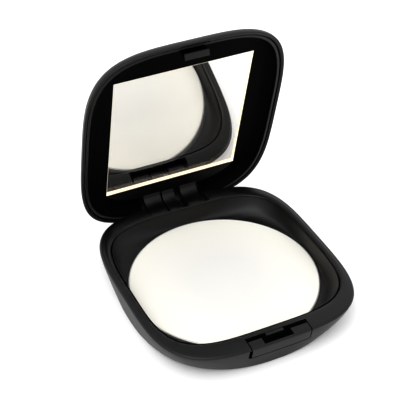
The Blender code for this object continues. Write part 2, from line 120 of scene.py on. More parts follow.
# Button
BUTTON_LEFT_X = BUTTON_LOW.x
BUTTON_RIGHT_X = BUTTON_HIGH.x
BUTTON_BACK_Y = BUTTON_HIGH.y
BUTTON_FOOT_Z = BUTTON_LOW.z
BAY_BACK_Y = -31.8 * MM
BAY_FLOOR_Z = 5.5 * MM
BAY_HALF_X = 12.0 * MM
BAY_WALL = 0.8 * MM
POCKET_HALF_X = 4.7 * MM
POCKET_FRONT_Y = -35.2 * MM
POCKET_STEP = 0.45 * MM
POCKET_STEP_Z = 8.5 * MM
SLOT_LEFT_X = -9.8 * MM      # slot between the button's left end and the base, below the rim
SLOT_RIGHT_X = -8.75 * MM
SLOT_TOP_Z = 9.3 * MM
SLOT_BACK_Y = -34.0 * MM
BUTTON_TRAVEL = 0.6 * MM
SPRING_BORE_X = 7.2 * MM
SPRING_BORE_Z = 8.0 * MM
SPRING_BORE_RADIUS = 1.25 * MM
SPRING_BORE_END_Y = -35.2 * MM
SPRING_RADIUS = 0.8 * MM
SPRING_WIRE = 0.12 * MM
CATCH_LEFT_X = -2.85 * MM    # block behind the hook
CATCH_RIGHT_X = 2.9 * MM
CATCH_FRONT_Y = -32.95 * MM
CATCH_FOOT_Z = 8.7 * MM
CATCH_TOP_Z = 10.1 * MM

# Lid, as it lies when shut
LID_HALF_X = 33.05 * MM
LID_HALF_Y = 37.7 * MM
LID_MIDDLE_Y = 0.22 * MM
LID_FOOT_Z = 10.25 * MM
LID_EDGE = 0.2 * MM          # rounding of the foot
LID_SIDE_RADIUS = 4.0 * MM   # of the curve up from the foot
LID_TOP_RADIUS = 25.0 * MM   # of the slow curve that goes on over the top
LID_SIDE_TURN = radians(45)  # how far the first of them turns
SQUARE_LID = 3.85
LID_WALL = 1.0 * MM
LINER_LIP_Z = 10.6 * MM
LINER_OUTER = LID_WALL + GAP
LIP_WIDTH = 0.9 * MM
COVE_WIDTH = 3.7 * MM        # of the concave wall between the lip and the panel
LIP_NOTCH_LEFT_X = -3.9 * MM  # cut from the inside of the lip, in front of the hook
LIP_NOTCH_RIGHT_X = 5.1 * MM
LIP_NOTCH_FRONT_Y = -36.95 * MM
LIP_NOTCH_DEPTH = 0.7 * MM
PANEL_SHEET = 0.6 * MM
TAPE_THICKNESS = 0.2 * MM

# Hook of the lid
HOOK_LEFT_X = -3.45 * MM
HOOK_RIGHT_X = 4.45 * MM
HOOK_BACK_Y = -33.2 * MM
HOOK_NECK_Y = -34.1 * MM
HOOK_TIP = (-33.35 * MM, 8.3 * MM)    # Y and Z of the sloping face that leads it in
HOOK_NOSE = (-34.9 * MM, 9.2 * MM)


def shut_box(node):
    """Lowest and highest corner of a node of the lid as it lies when the lid is shut."""
    shut = LID_OPEN.inverted()
    corners = [shut @ vertex.co for vertex in frame["nodes"][node].data.vertices]
    low = Vector([min(corner[axis] for corner in corners) for axis in range(3)])
    high = Vector([max(corner[axis] for corner in corners) for axis in range(3)])
    return low, high


MIRROR_LOW, MIRROR_HIGH = shut_box("mirror_glass")
PANEL_Z = MIRROR_LOW.z


# Shapes ----------------------------------------------------------------------------------------

def add_piece(name, shape):
    """An object made from a bmesh, with its faces turned outwards."""
    bmesh.ops.recalc_face_normals(shape, faces=shape.faces)
    mesh_data = bpy.data.meshes.new(name)
    shape.to_mesh(mesh_data)
    shape.free()
    made = bpy.data.objects.new(name, mesh_data)
    bpy.context.scene.collection.objects.link(made)
    return made


def outline(half_x, half_y, square, middle_y, z):
    """One level of a rounded square: a superellipse whose exponent says how square it is."""
    points = []
    for i in range(RING_POINTS):
        angle = 2 * pi * i / RING_POINTS
        reach = (abs(cos(angle) / half_x) ** square + abs(sin(angle) / half_y) ** square) ** (-1 / square)
        points.append(Vector((reach * cos(angle), middle_y + reach * sin(angle), z)))
    return points


def skin(name, rings, closed=False):
    """A surface through the rings in turn: back to the first if closed, otherwise with flat ends."""
    shape = bmesh.new()
    rows = [[shape.verts.new(point) for point in ring] for ring in rings]
    pairs = list(zip(rows, rows[1:]))
    if closed:
        pairs.append((rows[-1], rows[0]))
    else:
        shape.faces.new(reversed(rows[0]))
        shape.faces.new(rows[-1])
    for low, high in pairs:
        for i in range(len(low)):
            j = (i + 1) % len(low)
            shape.faces.new((low[i], low[j], high[j], high[i]))
    return add_piece(name, shape)


def box(name, low, high):
    shape = bmesh.new()
    bmesh.ops.create_cube(shape, size=1.0)
    low, high = Vector(low), Vector(high)
    shape.transform(Matrix.Translation((low + high) / 2) @ Matrix.Diagonal((*(high - low), 1.0)))
    return add_piece(name, shape)


def slab(name, profile, left_x, right_x):
    """A (y, z) profile given thickness along X."""
    shape = bmesh.new()
    ends = [[shape.verts.new((x, y, z)) for y, z in profile] for x in (left_x, right_x)]
    for i in range(len(profile)):
        j = (i + 1) % len(profile)
        shape.faces.new((ends[0][i], ends[0][j], ends[1][j], ends[1][i]))
    shape.faces.new(ends[0])
    shape.faces.new(reversed(ends[1]))
    return add_piece(name, shape)


def rod(name, radius, start_point, end_point, sides=64):
    start_point, end_point = Vector(start_point), Vector(end_point)
    run = end_point - start_point
    shape = bmesh.new()
    bmesh.ops.create_cone(shape, cap_ends=True, segments=sides, radius1=radius, radius2=radius,
                          depth=run.length)
    turn = Vector((0, 0, 1)).rotation_difference(run).to_matrix().to_4x4()
    shape.transform(Matrix.Translation((start_point + end_point) / 2) @ turn)
    return add_piece(name, shape)


def turned(name, profile, steps=256):
    """A (radius, z) profile turned round the vertical axis. It starts and ends on the axis."""
    shape = bmesh.new()
    first, last = (shape.verts.new((0, 0, z)) for _, z in (profile[0], profile[-1]))
    rows = []
    for radius, z in profile[1:-1]:
        angles = [2 * pi * i / steps for i in range(steps)]
        rows.append([shape.verts.new((radius * cos(a), radius * sin(a), z)) for a in angles])
    for i in range(steps):
        j = (i + 1) % steps
        shape.faces.new((first, rows[0][i], rows[0][j]))
        shape.faces.new((last, rows[-1][j], rows[-1][i]))
        for low, high in zip(rows, rows[1:]):
            shape.faces.new((low[i], low[j], high[j], high[i]))
    return add_piece(name, shape)


def arc(middle, radius, first, last, steps):
    """Points round the middle from one angle to another, counted from the first axis to the second."""
    angles = [first + (last - first) * i / steps for i in range(steps + 1)]
    return [(middle[0] + radius * cos(a), middle[1] + radius * sin(a)) for a in angles]


def soften(piece, width, segments=3):
    """Rounds the piece's sharp edges."""
    step = piece.modifiers.new("soften", "BEVEL")
    step.width = width
    step.segments = segments
    step.limit_method = "ANGLE"
    step.angle_limit = radians(28)
    return piece


def settle(piece):
    """Makes what the modifiers give the piece's own mesh."""
    graph = bpy.context.evaluated_depsgraph_get()
    old = piece.data
    piece.data = bpy.data.meshes.new_from_object(piece.evaluated_get(graph))
    piece.data.name = piece.name
    piece.modifiers.clear()
    bpy.data.meshes.remove(old)
    return piece


def combine(piece, *steps):
    """Joins to the piece, or cuts from it, each other shape in turn, which is used up."""
    for operation, other in steps:
        step = piece.modifiers.new(other.name, "BOOLEAN")
        step.operation = operation
        step.object = other
        settle(piece)
        bpy.data.objects.remove(other)
    return piece


def dress(piece, body, finish, slot, *nodes):
    """Shades the piece, gives it its material, and sets the body it rides on and the nodes it stands for."""
    piece.data.shade_smooth()
    piece.data.set_sharp_from_angle(angle=radians(35))
    piece.data.materials.clear()
    piece.data.materials.append(finish)
    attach(piece, body)
    if nodes:
        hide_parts(*nodes)
    return piece


# Materials -------------------------------------------------------------------------------------

def srgb(text):
    """An sRGB hex colour as linear red, green, blue and alpha."""
    channels = [int(text[i:i + 2], 16) / 255 for i in (1, 3, 5)]
    linear = [c / 12.92 if c <= 0.04045 else ((c + 0.055) / 1.055) ** 2.4 for c in channels]
    return (*linear, 1.0)


def add_node(tree, kind, inputs, **settings):
    """A shader node. An input given as a socket is linked, and any other is set."""
    made = tree.nodes.new("ShaderNode" + kind)
    for name, value in settings.items():
        setattr(made, name, value)
    for name, value in inputs.items():
        if isinstance(value, bpy.types.NodeSocket):
            tree.links.new(value, made.inputs[name])
        else:
            made.inputs[name].default_value = value
    return made


def new_material(name, **sockets):
    """An empty material's tree and its Principled shader, with what is the same all over set on it."""
    made = bpy.data.materials.new(name)
    made.use_nodes = True
    shader = made.node_tree.nodes["Principled BSDF"]
    for socket, value in sockets.items():
        shader.inputs[socket.replace("_", " ")].default_value = value
    return made, made.node_tree, shader


def place_on(tree, size):
    """Coordinates that count one for each size, on the piece itself."""
    coordinates = add_node(tree, "TexCoord", {})
    scale = 1 / size
    return add_node(tree, "Mapping", {"Vector": coordinates.outputs["Object"],
                                      "Scale": (scale, scale, scale)}).outputs["Vector"]


def ramp(tree, factor, *stops):
    """A colour ramp through (place, colour) stops."""
    made = add_node(tree, "ValToRGB", {"Fac": factor})
    elements = made.color_ramp.elements
    for i, (place, colour) in enumerate(stops):
        element = elements[i] if i < 2 else elements.new(place)
        element.position = place
        element.color = colour
    return made.outputs["Color"]


def moulded_abs(name, roughness, gloss, dark, light, grain, depth):
    """Black ABS from a spark-eroded mould: a satin skin whose fine grain spreads each highlight wide.
    The grain is a few hundredths of a millimetre in the mould, and is drawn coarser to show."""
    made, tree, shader = new_material(name, IOR=1.5, Specular_IOR_Level=gloss)
    grain_noise = add_node(tree, "TexNoise", {"Vector": place_on(tree, grain), "Scale": 1.0, "Detail": 3.0})
    cloud = add_node(tree, "TexNoise", {"Vector": place_on(tree, 9 * MM), "Scale": 1.0, "Detail": 2.0})
    colour = ramp(tree, cloud.outputs["Fac"], (0.3, srgb(dark)), (0.7, srgb(light)))
    dull = add_node(tree, "MapRange", {"Value": cloud.outputs["Fac"], "From Min": 0.3, "From Max": 0.7,
                                       "To Min": roughness - 0.03, "To Max": roughness + 0.03})
    bump = add_node(tree, "Bump", {"Height": grain_noise.outputs["Fac"], "Strength": 0.5,
                                   "Distance": depth})
    tree.links.new(colour, shader.inputs["Base Color"])
    tree.links.new(dull.outputs["Result"], shader.inputs["Roughness"])
    tree.links.new(bump.outputs["Normal"], shader.inputs["Normal"])
    return made


def pressed_powder():
    """Talc and mica pressed flat in the pan: dead matt, lighter and a little creamier towards the rim. The
    lighter rim is a painted highlight; the cream is the powder's own tint.
    """
    made, tree, shader = new_material("pressed_powder", IOR=1.5, Roughness=0.95)
    shader.inputs["Specular IOR Level"].default_value = 0.15
    grain = add_node(tree, "TexNoise", {"Vector": place_on(tree, 0.4 * MM), "Scale": 1.0, "Detail": 4.0})
    across = add_node(tree, "VectorMath", {0: place_on(tree, PAN_RADIUS), 1: (1, 1, 0)},
                      operation="MULTIPLY")
    reach = add_node(tree, "VectorMath", {0: across.outputs[0]}, operation="LENGTH")
    # Painted highlight: the colour grows lighter from the middle out to the rim.
    colour = ramp(tree, reach.outputs["Value"], (0.35, srgb("#D5D4D0")), (0.98, srgb("#E4E2DA")))
    bump = add_node(tree, "Bump", {"Height": grain.outputs["Fac"], "Strength": 0.3,
                                   "Distance": 0.02 * MM})
    tree.links.new(colour, shader.inputs["Base Color"])
    tree.links.new(bump.outputs["Normal"], shader.inputs["Normal"])
    return made


def tinplate():
    """Cold-rolled tinned steel sheet, drawn into a pan: bright, with faint streaks along the rolling."""
    made, tree, shader = new_material("rolled_tinplate", Metallic=1.0)
    drawn_out = add_node(tree, "Mapping", {"Vector": place_on(tree, 0.6 * MM), "Scale": (0.05, 1, 1)})
    streaks = add_node(tree, "TexNoise", {"Vector": drawn_out.outputs["Vector"], "Scale": 1.0,
                                          "Detail": 3.0})
    colour = ramp(tree, streaks.outputs["Fac"], (0.3, srgb("#B4B4B6")), (0.7, srgb("#CFCFD0")))
    dull = add_node(tree, "MapRange", {"Value": streaks.outputs["Fac"], "To Min": 0.22, "To Max": 0.4})
    tree.links.new(colour, shader.inputs["Base Color"])
    tree.links.new(dull.outputs["Result"], shader.inputs["Roughness"])
    return made


def drawn_steel():
    """Drawn steel wire: grey, with fine lines along the wire."""
    made, tree, shader = new_material("drawn_steel_wire", Metallic=1.0)
    lines = add_node(tree, "TexNoise", {"Vector": place_on(tree, 0.2 * MM), "Scale": 1.0, "Detail": 2.0})
    colour = ramp(tree, lines.outputs["Fac"], (0.3, srgb("#8E8E90")), (0.7, srgb("#A9A9AA")))
    dull = add_node(tree, "MapRange", {"Value": lines.outputs["Fac"], "To Min": 0.25, "To Max": 0.42})
    tree.links.new(colour, shader.inputs["Base Color"])
    tree.links.new(dull.outputs["Result"], shader.inputs["Roughness"])
    return made


def float_glass():
    """Polished float glass: clear and smooth, with a faint patchy tint from handling."""
    made, tree, shader = new_material("float_glass", IOR=1.52, Transmission_Weight=1.0)
    smear = add_node(tree, "TexNoise", {"Vector": place_on(tree, 12 * MM), "Scale": 1.0, "Detail": 2.0})
    tint = ramp(tree, smear.outputs["Fac"], (0.3, srgb("#FBFCFB")), (0.7, srgb("#FDFEFD")))
    tree.links.new(tint, shader.inputs["Base Color"])
    shader.inputs["Roughness"].default_value = 0.0
    return made


def silvering():
    """Silver laid on the back of the glass: a full mirror, a trace warm."""
    made, tree, shader = new_material("silvering", Metallic=1.0, Roughness=0.0)
    patch = add_node(tree, "TexNoise", {"Vector": place_on(tree, 15 * MM), "Scale": 1.0, "Detail": 1.0})
    tint = ramp(tree, patch.outputs["Fac"], (0.3, srgb("#F8F5F3")), (0.7, srgb("#FAF8F6")))
    tree.links.new(tint, shader.inputs["Base Color"])
    return made


def ground_glass_edge():
    """The cut edge of the glass, ground on a belt: a frosted cream line. Its own light stands for
    what the glass carries to the edge over more bounces than are traced."""
    made, tree, shader = new_material("ground_glass_edge", IOR=1.52, Roughness=0.7,
                                      Emission_Color=srgb("#FFF3E0"), Emission_Strength=0.55)
    grit = add_node(tree, "TexNoise", {"Vector": place_on(tree, 0.3 * MM), "Scale": 1.0, "Detail": 3.0})
    colour = ramp(tree, grit.outputs["Fac"], (0.3, srgb("#F2E8CE")), (0.7, srgb("#FBF4DF")))
    bump = add_node(tree, "Bump", {"Height": grit.outputs["Fac"], "Strength": 0.3, "Distance": 0.03 * MM})
    tree.links.new(colour, shader.inputs["Base Color"])
    tree.links.new(bump.outputs["Normal"], shader.inputs["Normal"])
    return made


def hot_glue():
    """Hot-melt glue: yellowish, milky and a little glossy."""
    made, tree, shader = new_material("hot_melt_glue", IOR=1.48, Roughness=0.35)
    milk = add_node(tree, "TexNoise", {"Vector": place_on(tree, 3 * MM), "Scale": 1.0, "Detail": 2.0})
    colour = ramp(tree, milk.outputs["Fac"], (0.3, srgb("#DAD2B4")), (0.7, srgb("#E8E2CA")))
    tree.links.new(colour, shader.inputs["Base Color"])
    return made


def foam_tape():
    """Closed-cell foam tape: off-white, with fine cells."""
    made, tree, shader = new_material("foam_tape", IOR=1.45, Roughness=0.9)
    cells = add_node(tree, "TexVoronoi", {"Vector": place_on(tree, 0.35 * MM), "Scale": 1.0})
    colour = ramp(tree, cells.outputs["Distance"], (0.1, srgb("#D8D8D2")), (0.6, srgb("#EDEDE8")))
    bump = add_node(tree, "Bump", {"Height": cells.outputs["Distance"], "Strength": 0.4,
                                   "Distance": 0.05 * MM})
    tree.links.new(colour, shader.inputs["Base Color"])
    tree.links.new(bump.outputs["Normal"], shader.inputs["Normal"])
    return made


# Base ------------------------------------------------------------------------------------------

def base_outline(z, inset=0.0):
    """The base's outside at height z, moved in by inset."""
    fall = max(0.0, 1 - z / BASE_WIDEST_Z) ** 1.27
    return outline(BASE_HALF_X - FOOT_INSET_X * fall - inset, BASE_HALF_Y - FOOT_INSET_Y * fall - inset,
                   SQUARE_TOP + (SQUARE_FOOT - SQUARE_TOP) * fall, BASE_MIDDLE_Y, z)


def well_outline(z, outset=0.0):
    return outline(WELL_HALF + outset, WELL_HALF + outset, SQUARE_WELL, WELL_MIDDLE_Y, z)


def at_height(ring, z):
    return [Vector((point.x, point.y, z)) for point in ring]


def between(first, last, share, z):
    return at_height([a.lerp(b, share) for a, b in zip(first, last)], z)


def base_outside():
    """Rings from the foot up the wall and over the rounded rim."""
    rings = []
    for degrees in range(0, 91, 15):
        turn = radians(degrees)
        rings.append(base_outline(FOOT_RADIUS * (1 - cos(turn)), FOOT_RADIUS * (1 - sin(turn))))
    rim_foot = LAND_TOP - LAND_CROWN - RIM_RISE
    levels = 20
    for i in range(1, levels):
        rings.append(base_outline(FOOT_RADIUS + (rim_foot - FOOT_RADIUS) * i / levels))
    for degrees in range(0, 91, 10):
        turn = radians(degrees)
        z = rim_foot + RIM_RISE * sin(turn)
        rings.append(at_height(base_outline(min(z, BASE_WIDEST_Z), RIM_INSET * (1 - cos(turn))), z))
    return rings


def land(rings):
    """Rings from the rim's rounding to the lip of the well."""
    lip = well_outline(LAND_TOP, WELL_LIP_IN)
    start_ring = rings[-1]
    steps = 6
    return [between(start_ring, lip, i / steps, LAND_TOP - LAND_CROWN * (1 - i / steps) ** 2)
            for i in range(1, steps + 1)]


def well_lip():
    """The land's inner edge: it rolls over into the well, slowly at first."""
    return [well_outline(LAND_TOP - WELL_LIP_DOWN * (1 - cos(radians(d))),
                         WELL_LIP_IN * (1 - sin(radians(d)))) for d in range(10, 91, 10)]


def make_base_shell(finish):
    rings = base_outside()
    rings += land(rings)
    rings += well_lip()
    land_foot = LAND_TOP - WALL
    rings.append(well_outline(land_foot))
    rings.append(at_height(base_outline(land_foot - WALL, WALL), land_foot - 0.1 * MM))
    rings += [base_outline(z * MM, WALL) for z in (8.0, 6.0, 4.0, 2.4)]
    rings.append(at_height(base_outline(1.6 * MM, WALL + 0.4 * MM), WALL))
    shell = skin("base_shell_moulding", rings)
    combine(shell, *hinge_notch(), *button_bay())
    return dress(shell, "base", finish, "outer_plastic", "base_shell")


def hinge_notch():
    """The gap in the rear wall for the lid's lugs, and the bearings beside it."""
    steps = []
    for side in (-1, 1):
        profile = [(HINGE_Y - BEARING_RADIUS, WALL * 0.6), (HINGE_Y + 0.4 * MM, WALL * 0.6)]
        profile += arc((HINGE_Y, HINGE_Z), 1.1 * MM, -pi / 4, pi / 2, 12)
        profile += arc((HINGE_Y, HINGE_Z), BEARING_RADIUS, pi / 2 + 0.2, pi, 16)
        ends = sorted((side * (NOTCH_HALF_X - 1 * MM), side * BEARING_OUTER_X))
        steps.append(("UNION", slab("bearing", profile, *ends)))
    steps.append(("DIFFERENCE", box("notch", (-NOTCH_HALF_X, NOTCH_FRONT_Y, NOTCH_FLOOR_Z),
                                    (NOTCH_HALF_X, OUTSIDE, OUTSIDE))))
    return steps


def button_bay():
    """The gap in the front wall for the button, with a web and a floor behind it and the lid's catch."""
    web = box("bay_web", (-BAY_HALF_X, BAY_BACK_Y - 0.8 * MM, WALL / 2),
              (BAY_HALF_X, BAY_BACK_Y + BAY_WALL, BASE_WIDEST_Z - 0.2 * MM))
    floor = box("bay_floor", (GAP - BAY_HALF_X, WALL_INSIDE_Y, BAY_FLOOR_Z - WALL),
                (BAY_HALF_X - GAP, BAY_BACK_Y + BAY_WALL / 2, BAY_FLOOR_Z + 0.4 * MM))
    bay = box("bay", (BUTTON_LEFT_X - GAP, -OUTSIDE, BAY_FLOOR_Z),
              (BUTTON_RIGHT_X + GAP, BAY_BACK_Y, OUTSIDE))
    catch = soften(box("catch_block", (CATCH_LEFT_X, CATCH_FRONT_Y, CATCH_FOOT_Z),
                       (CATCH_RIGHT_X, BAY_BACK_Y + 0.4 * MM, CATCH_TOP_Z)), 0.15 * MM)
    slot = box("bay_slot", (SLOT_LEFT_X, -OUTSIDE, BAY_FLOOR_Z + 0.4 * MM),
               (BUTTON_LEFT_X, SLOT_BACK_Y - 0.9 * MM, SLOT_TOP_Z))
    return [("UNION", web), ("UNION", floor), ("DIFFERENCE", bay), ("DIFFERENCE", slot), ("UNION", catch)]


def make_well_liner(finish):
    """The funnel from the square opening down to the round pan."""
    bottom = CAKE_TOP - 0.1 * MM
    hole = PAN_RADIUS + 0.1 * MM

    def funnel(part, outset, z):
        half = hole + (WELL_HALF - GAP - hole) * part + outset
        square = 2 + (SQUARE_WELL - 2) * part ** 0.8
        return outline(half, half, square, WELL_MIDDLE_Y * part, z)

    steps = 24
    inner, outer = [], []
    for i in range(steps + 1):
        part = i / steps
        z = bottom + (LINER_TOP - bottom) * part ** 1.4
        inner.append(funnel(part, 0.0, z))
        if i > 0:
            outer.append(funnel(part, LINER_WALL * min(1.0, 4 * (1 - part)), z - LINER_WALL * part))
    skirt = PAN_RADIUS + GAP
    foot = [outline(skirt + LINER_WALL, skirt + LINER_WALL, 2, 0.0, z) for z in (bottom, WALL + GAP)]
    foot += [outline(skirt, skirt, 2, 0.0, z) for z in (WALL + GAP, bottom - 0.3 * MM)]
    liner = skin("well_funnel", inner + outer[::-1] + foot, closed=True)
    return dress(liner, "base", finish, "inner_plastic", "well_liner")


def make_pan(finish):
    """A shallow drawn cup with a rounded bottom corner and a rolled rim."""
    cup = PAN_RADIUS - PAN_SHEET
    floor = PAN_LOW.z + PAN_SHEET
    corner = 0.6 * MM
    rim = (PAN_RADIUS - PAN_SHEET / 2, PAN_HIGH.z)
    profile = [(0, floor), (cup - corner, floor)]
    profile += arc((cup - corner, floor + corner), corner, -pi / 2, 0, 6)
    profile += arc(rim, PAN_SHEET / 2, pi, 0, 8)
    profile += arc((PAN_RADIUS - corner - PAN_SHEET, PAN_LOW.z + corner + PAN_SHEET),
                   corner + PAN_SHEET, 0, -pi / 2, 6)
    profile += [(0, PAN_LOW.z)]
    return dress(turned("drawn_pan", profile), "base", finish, "tinplate", "powder_pan")


def make_powder(finish):
    """The pressed cake: flat, with an edge that rounds down to the pan's wall."""
    radius = PAN_RADIUS - PAN_SHEET - CAKE_SLACK
    foot = PAN_LOW.z + PAN_SHEET + CAKE_SLACK
    edge = 0.2 * MM
    profile = [(0, CAKE_TOP), (radius * 0.5, CAKE_TOP), (radius - 4 * edge, CAKE_TOP)]
    profile += arc((radius - edge, CAKE_TOP - edge), edge, pi / 2, 0, 5)
    profile += [(radius, foot + edge), (radius - 0.8 * MM, foot), (0, foot)]
    return dress(turned("pressed_powder_cake", profile), "base", finish, "powder", "powder_cake")


def make_button(finish):
    """The front of the base's own rounded rim, cut free, so that it lies flush with the base."""
    rings = base_outside()
    rings += land(rings)
    button = skin("push_button", rings)
    keep = box("block", (BUTTON_LEFT_X, -OUTSIDE, BUTTON_FOOT_Z), (BUTTON_RIGHT_X, BUTTON_BACK_Y, OUTSIDE))
    pocket = box("pocket", (-POCKET_HALF_X, POCKET_FRONT_Y, 0), (POCKET_HALF_X, 0, OUTSIDE))
    step = box("pocket_step", (-POCKET_HALF_X, POCKET_FRONT_Y - POCKET_STEP, POCKET_STEP_Z),
               (POCKET_HALF_X, 0, OUTSIDE))
    slot = box("button_slot", (-OUTSIDE, -OUTSIDE, 0), (SLOT_RIGHT_X, SLOT_BACK_Y, SLOT_TOP_Z))
    steps = [("INTERSECT", keep), ("DIFFERENCE", pocket), ("DIFFERENCE", step), ("DIFFERENCE", slot)]
    for side in (-1, 1):
        x = side * SPRING_BORE_X
        bore = rod("spring_bore", SPRING_BORE_RADIUS, (x, SPRING_BORE_END_Y, SPRING_BORE_Z),
                   (x, 0, SPRING_BORE_Z), sides=32)
        steps.append(("DIFFERENCE", bore))
    combine(button, *steps)
    return dress(button, "button", finish, "outer_plastic", "latch_button")


def make_springs(finish):
    """Two small coils in the button's bores."""
    turns, points_a_turn, sides = 3, 24, 10
    start_y = BAY_BACK_Y - GAP - SPRING_WIRE
    end_y = SPRING_BORE_END_Y + BUTTON_TRAVEL + GAP + SPRING_WIRE
    for side, word in ((-1, "left"), (1, "right")):
        rings = []
        count = turns * points_a_turn
        for i in range(count + 1):
            turn = 2 * pi * i / points_a_turn
            out = Vector((cos(turn), 0, sin(turn)))
            middle = Vector((side * SPRING_BORE_X, start_y + (end_y - start_y) * i / count, SPRING_BORE_Z))
            middle += out * SPRING_RADIUS
            rings.append([middle + SPRING_WIRE * (out * cos(a) + Vector((0, sin(a), 0)))
                          for a in (2 * pi * k / sides for k in range(sides))])
        dress(skin("coil_spring_" + word, rings), "base", finish, "steel", "button_spring_" + word)


def make_hinge_pin(finish):
    pin = soften(rod("turned_hinge_pin", PIN_RADIUS, (-PIN_REACH, HINGE_Y, HINGE_Z),
                     (PIN_REACH, HINGE_Y, HINGE_Z), sides=48), 0.12 * MM)
    return dress(settle(pin), "base", finish, "steel", "hinge_pin")


# Lid -------------------------------------------------------------------------------------------

def lid_outline(z, inset):
    return outline(LID_HALF_X - inset, LID_HALF_Y - inset, SQUARE_LID, LID_MIDDLE_Y, z)


def dome(wall, first=0):
    """The lid's rounded skin from its foot to the flat of its top, moved in by the wall."""
    rings = []
    for degrees in range(first, 91, 3):
        turn = radians(degrees)
        side_turn = min(turn, LID_SIDE_TURN)
        inset = LID_SIDE_RADIUS * (1 - cos(side_turn)) + LID_TOP_RADIUS * (cos(side_turn) - cos(turn))
        rise = LID_SIDE_RADIUS * sin(side_turn) + LID_TOP_RADIUS * (sin(turn) - sin(side_turn))
        rings.append(lid_outline(LID_FOOT_Z + LID_EDGE + rise - wall * sin(turn), inset + wall * cos(turn)))
    return rings


def make_lid_shell(finish):
    lip = [lid_outline(LID_FOOT_Z + 0.3 * MM, LID_WALL), lid_outline(LID_FOOT_Z, 0.4 * MM)]
    lip += [lid_outline(LID_FOOT_Z + LID_EDGE * (1 - cos(radians(d))), LID_EDGE * (1 - sin(radians(d))))
            for d in (0, 22, 45, 68)]
    shell = skin("lid_shell_moulding", dome(LID_WALL, 9)[::-1] + lip + dome(0.0))
    way = box("lug_way", (-LUG_OUTER_X - LUG_SLACK, NOTCH_FRONT_Y, 0),
              (LUG_OUTER_X + LUG_SLACK, OUTSIDE, LUG_WAY_TOP_Z))
    notch = box("lip_notch", (LIP_NOTCH_LEFT_X, LIP_NOTCH_FRONT_Y, 0),
                (LIP_NOTCH_RIGHT_X, HOOK_BACK_Y, LID_FOOT_Z + LIP_NOTCH_DEPTH))
    combine(shell, ("DIFFERENCE", way), ("DIFFERENCE", notch))
    return open_out(shell, finish, "outer_plastic", "lid_shell")


def open_out(piece, finish, slot, *nodes):
    """Turns a piece of the lid to where the lid stands open, and dresses it."""
    piece.matrix_world = LID_OPEN
    return dress(piece, "lid", finish, slot, *nodes)


def make_lid_liner(finish, shaded_panel_finish):
    """The lid's inside: a lip, a concave wall up to a flat panel, the mirror's seat, lugs and hook.
    The wall and the panel are duller and darker than the rest: a shaded copy of the same plastic, which is
    painted shade."""
    panel_back = MIRROR_HIGH.z + TAPE_THICKNESS + PANEL_SHEET
    lip_edge = 0.15 * MM
    rings = [lid_outline(panel_back, 7.4 * MM), lid_outline(15.75 * MM, 6.2 * MM),
             lid_outline(14.2 * MM, 4.1 * MM), lid_outline(12.4 * MM, 2.6 * MM),
             lid_outline(LINER_LIP_Z + lip_edge, LINER_OUTER),
             lid_outline(LINER_LIP_Z, LINER_OUTER + lip_edge),
             lid_outline(LINER_LIP_Z, LINER_OUTER + LIP_WIDTH - lip_edge)]
    for degrees in range(3, 91, 6):
        turn = radians(degrees)
        rings.append(lid_outline(LINER_LIP_Z + (PANEL_Z - LINER_LIP_Z) * sin(turn),
                                 LINER_OUTER + LIP_WIDTH + COVE_WIDTH * (1 - cos(turn))))
    rings.append(lid_outline(PANEL_Z, LINER_OUTER + LIP_WIDTH + COVE_WIDTH + 0.5 * MM))
    liner = skin("lid_liner_moulding", rings)
    slack = 0.1 * MM
    seat = box("mirror_seat", (MIRROR_LOW.x - slack, MIRROR_LOW.y - slack, 0),
               (MIRROR_HIGH.x + slack, MIRROR_HIGH.y + slack, MIRROR_HIGH.z + TAPE_THICKNESS))
    combine(liner, ("DIFFERENCE", seat), *lugs(), ("UNION", hook()))
    open_out(liner, finish, "inner_plastic", "lid_liner")
    liner.data.materials.append(shaded_panel_finish)
    # Faces of the wall and the panel take the painted-shade copy of the plastic; the lip and the faces
    # beside the lugs keep the inner plastic.
    for face in liner.data.polygons:
        x, y, z = face.center
        beside_lugs = abs(x) < NOTCH_HALF_X and y > LUG_ZONE_Y
        if z > LINER_LIP_Z + 0.1 * MM and not beside_lugs:
            face.material_index = 1
    return liner


def lug_profile(recess):
    """An arm that reaches down from the panel and curls round the pin, set back by the recess."""
    radius = LUG_RADIUS - recess
    front = [(30.4, 14.35), (30.65, 14.0), (31.05, 13.65), (31.5, 13.4), (31.95, 13.1), (32.3, 12.7),
             (32.6, 12.2), (32.8, 11.7), (32.92, 11.1), (32.95, 10.5), (32.85, 9.7), (32.65, 8.8),
             (32.4, 7.8), (32.25, 7.1)]
    profile = [(y * MM + recess, z * MM - recess / 4) for y, z in front]
    profile += arc((HINGE_Y, HINGE_Z), radius, pi, 2 * pi, 32)
    rear = HINGE_Y + radius
    profile += [(rear, 11.6 * MM), (rear - 1.2 * MM, 11.8 * MM), (rear - 2.2 * MM, 13.0 * MM),
                (rear - 3.6 * MM, 14.35 * MM - recess / 4)]
    return profile


def lugs():
    """The two lugs, a strip and a web set back between them, and the bore for the pin through them all."""
    steps = []
    for side in (-1, 1):
        ends = sorted((side * LUG_INNER_X, side * LUG_OUTER_X))
        steps.append(("UNION", soften(slab("lug", lug_profile(0.0), *ends), 0.22 * MM)))
    strip = slab("lug_strip", lug_profile(STRIP_RECESS), STRIP_LEFT_X, STRIP_RIGHT_X)
    steps.append(("UNION", soften(strip, 0.12 * MM)))
    steps.append(("UNION", box("lug_web", (-LUG_INNER_X - 0.3 * MM, WEB_FRONT_Y, WEB_FOOT_Z),
                               (LUG_INNER_X + 0.3 * MM, WEB_REAR_Y, WEB_TOP_Z))))
    reach = LUG_OUTER_X + 2 * MM
    steps.append(("DIFFERENCE", rod("lug_bore", PIN_RADIUS + 0.12 * MM, (-reach, HINGE_Y, HINGE_Z),
                                    (reach, HINGE_Y, HINGE_Z))))
    return steps


